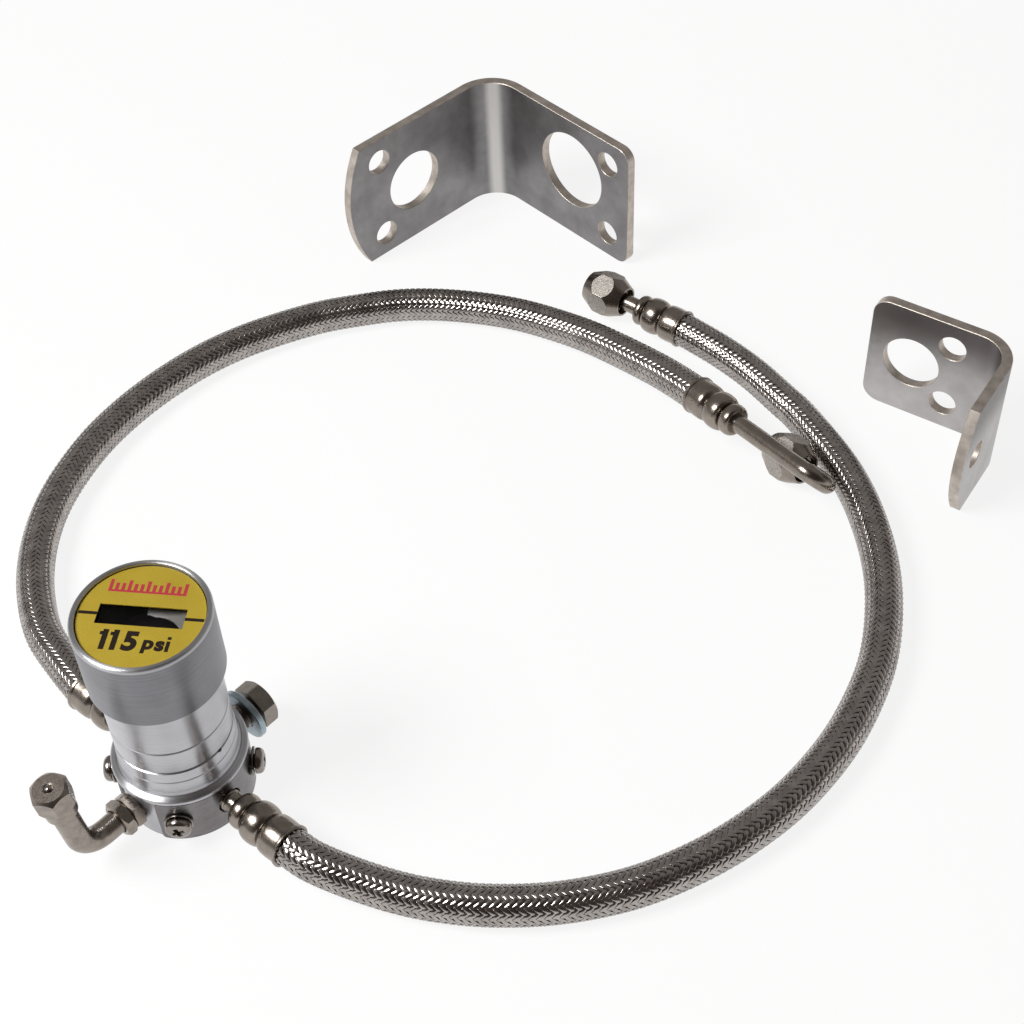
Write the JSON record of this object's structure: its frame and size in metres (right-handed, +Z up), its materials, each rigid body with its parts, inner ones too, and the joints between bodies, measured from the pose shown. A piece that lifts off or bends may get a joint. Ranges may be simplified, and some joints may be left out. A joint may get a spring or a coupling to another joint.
{
  "type": "dual tyre pressure equaliser kit",
  "caption": "Upright turned valve unit with a dial window, two wire-braided hoses ending in swivel nuts, a bent fill tube, a hexagon bolt and loose L-shaped brackets.",
  "frame": {"origin": "centre of the valve unit's flat base, on the surface that the kit lies on", "axes": "+Z up along the valve unit's axis; +X and +Y in the surface: hose A leaves towards +X -Y, hose B towards -X +Y, the fill tube towards -X -Y and the bolt towards +X +Y"},
  "size_m": [0.3195, 0.3279, 0.0785],
  "materials": {
    "turned_aluminium": "turned, bright, with fine circumferential tool lines",
    "stainless_sheet": "mill-finish stainless sheet, slightly scuffed",
    "stainless_band": "smooth rolled stainless, reflective",
    "nickel_plated_brass": "polished warm nickel plate",
    "screw_steel": "satin steel",
    "zinc_plated_steel": "bluish zinc plate",
    "stainless_wire_braid": "fine stainless wire braid over a rubber core",
    "spring_steel": "drawn spring wire",
    "brass": "machined brass",
    "black_rubber": "black rubber",
    "yellow_printed_film": "printed yellow film, semi-gloss",
    "clear_plastic": "clear, polished",
    "black_plastic": "black, moulded"
  },
  "bodies": {
    "valve": {"adjusting_ring": "brass", "band_screw_1": "screw_steel", "band_screw_2": "screw_steel", "band_screw_3": "screw_steel", "band_screw_4": "screw_steel", "band_washer_1": "screw_steel", "band_washer_2": "screw_steel", "band_washer_3": "screw_steel", "band_washer_4": "screw_steel", "check_spring_a": "spring_steel", "check_spring_b": "spring_steel", "dial_label": "yellow_printed_film", "dial_lens": "clear_plastic", "fill_core": "brass", "fill_core_spring": "spring_steel", "fill_elbow": "nickel_plated_brass", "fill_elbow_nut": "nickel_plated_brass", "hose_a": "stainless_wire_braid", "hose_a_inlet_ferrule": "nickel_plated_brass", "hose_a_nipple": "nickel_plated_brass", "hose_a_outlet_ferrule": "nickel_plated_brass", "hose_a_stem": "nickel_plated_brass", "hose_b": "stainless_wire_braid", "hose_b_inlet_ferrule": "nickel_plated_brass", "hose_b_nipple": "nickel_plated_brass", "hose_b_outlet_ferrule": "nickel_plated_brass", "hose_b_stem": "nickel_plated_brass", "housing_seal": "black_rubber", "port_band": "stainless_band", "port_body": "turned_aluminium", "sensing_spring": "spring_steel", "spring_housing": "turned_aluminium"},
    "piston": {"piston": "brass", "piston_seal": "black_rubber", "indicator": "black_plastic"},
    "check_a": {"check_valve_a": "brass"},
    "check_b": {"check_valve_b": "brass"},
    "bolt": {"mounting_bolt": "screw_steel", "lock_washer": "zinc_plated_steel"},
    "fill_cap": {"fill_cap": "nickel_plated_brass", "fill_cap_seal": "black_rubber"},
    "cap_pin": {"fill_cap_pin": "screw_steel"},
    "core_pin": {"fill_core_pin": "brass"},
    "nut_a": {"swivel_nut_a": "nickel_plated_brass", "swivel_seal_a": "black_rubber"},
    "nut_b": {"swivel_nut_b": "nickel_plated_brass", "swivel_seal_b": "black_rubber"},
    "large_bracket": {"bracket_large": "stainless_sheet"},
    "small_bracket": {"bracket_small": "stainless_sheet"}
  },
  "joints": [
    {"name": "piston_slide", "type": "slide", "parent": "valve", "child": "piston", "axis": [0, 0, 1], "range_m": [0, 0.0025], "stiffness_N_per_m": 2000, "springref_m": -0.002, "deforming": ["sensing_spring"]},
    {"name": "check_a_lift", "type": "slide", "parent": "valve", "child": "check_a", "axis": [0, 0, 1], "range_m": [0, 0.0025], "deforming": ["check_spring_a"]},
    {"name": "check_b_lift", "type": "slide", "parent": "valve", "child": "check_b", "axis": [0, 0, 1], "range_m": [0, 0.0025], "deforming": ["check_spring_b"]},
    {"name": "bolt_turn", "type": "hinge", "parent": "valve", "child": "bolt", "pos_m": [0.01806, 0.0187, 0.0097], "axis": [0.6947, 0.7193, 0], "continuous": true},
    {"name": "fill_cap_turn", "type": "hinge", "parent": "valve", "child": "fill_cap", "pos_m": [-0.02781, -0.0288, 0.04043], "axis": [-0.0726, -0.0752, 0.9945], "continuous": true},
    {"name": "cap_pin_press", "type": "slide", "parent": "fill_cap", "child": "cap_pin", "axis": [0.0726, 0.0752, -0.9945], "range_m": [0, 0.0012], "stiffness_N_per_m": 100, "springref_m": -0.001},
    {"name": "core_pin_press", "type": "slide", "parent": "valve", "child": "core_pin", "axis": [0.0726, 0.0752, -0.9945], "range_m": [0, 0.0012], "stiffness_N_per_m": 100, "springref_m": -0.001, "deforming": ["fill_core_spring"]},
    {"name": "nut_a_turn", "type": "hinge", "parent": "valve", "child": "nut_a", "pos_m": [0.13089, 0.20171, 0.0084], "axis": [0.7638, -0.6455, 0], "continuous": true},
    {"name": "nut_b_turn", "type": "hinge", "parent": "valve", "child": "nut_b", "pos_m": [0.1859, 0.1163, 0.00775], "axis": [0.5459, -0.8279, 0.1288], "continuous": true},
    {"name": "large_bracket_lift", "type": "slide", "parent": "valve", "child": "large_bracket", "axis": [0, 0, 1], "range_m": [0, 0.1]},
    {"name": "small_bracket_lift", "type": "slide", "parent": "valve", "child": "small_bracket", "axis": [0, 0, 1], "range_m": [0, 0.1]}
  ],
  "couplings": [
    {"joint": "check_a_lift", "follows": "piston_slide", "ratio": 1},
    {"joint": "check_b_lift", "follows": "piston_slide", "ratio": 1},
    {"joint": "core_pin_press", "follows": "cap_pin_press", "ratio": 1}
  ]
}
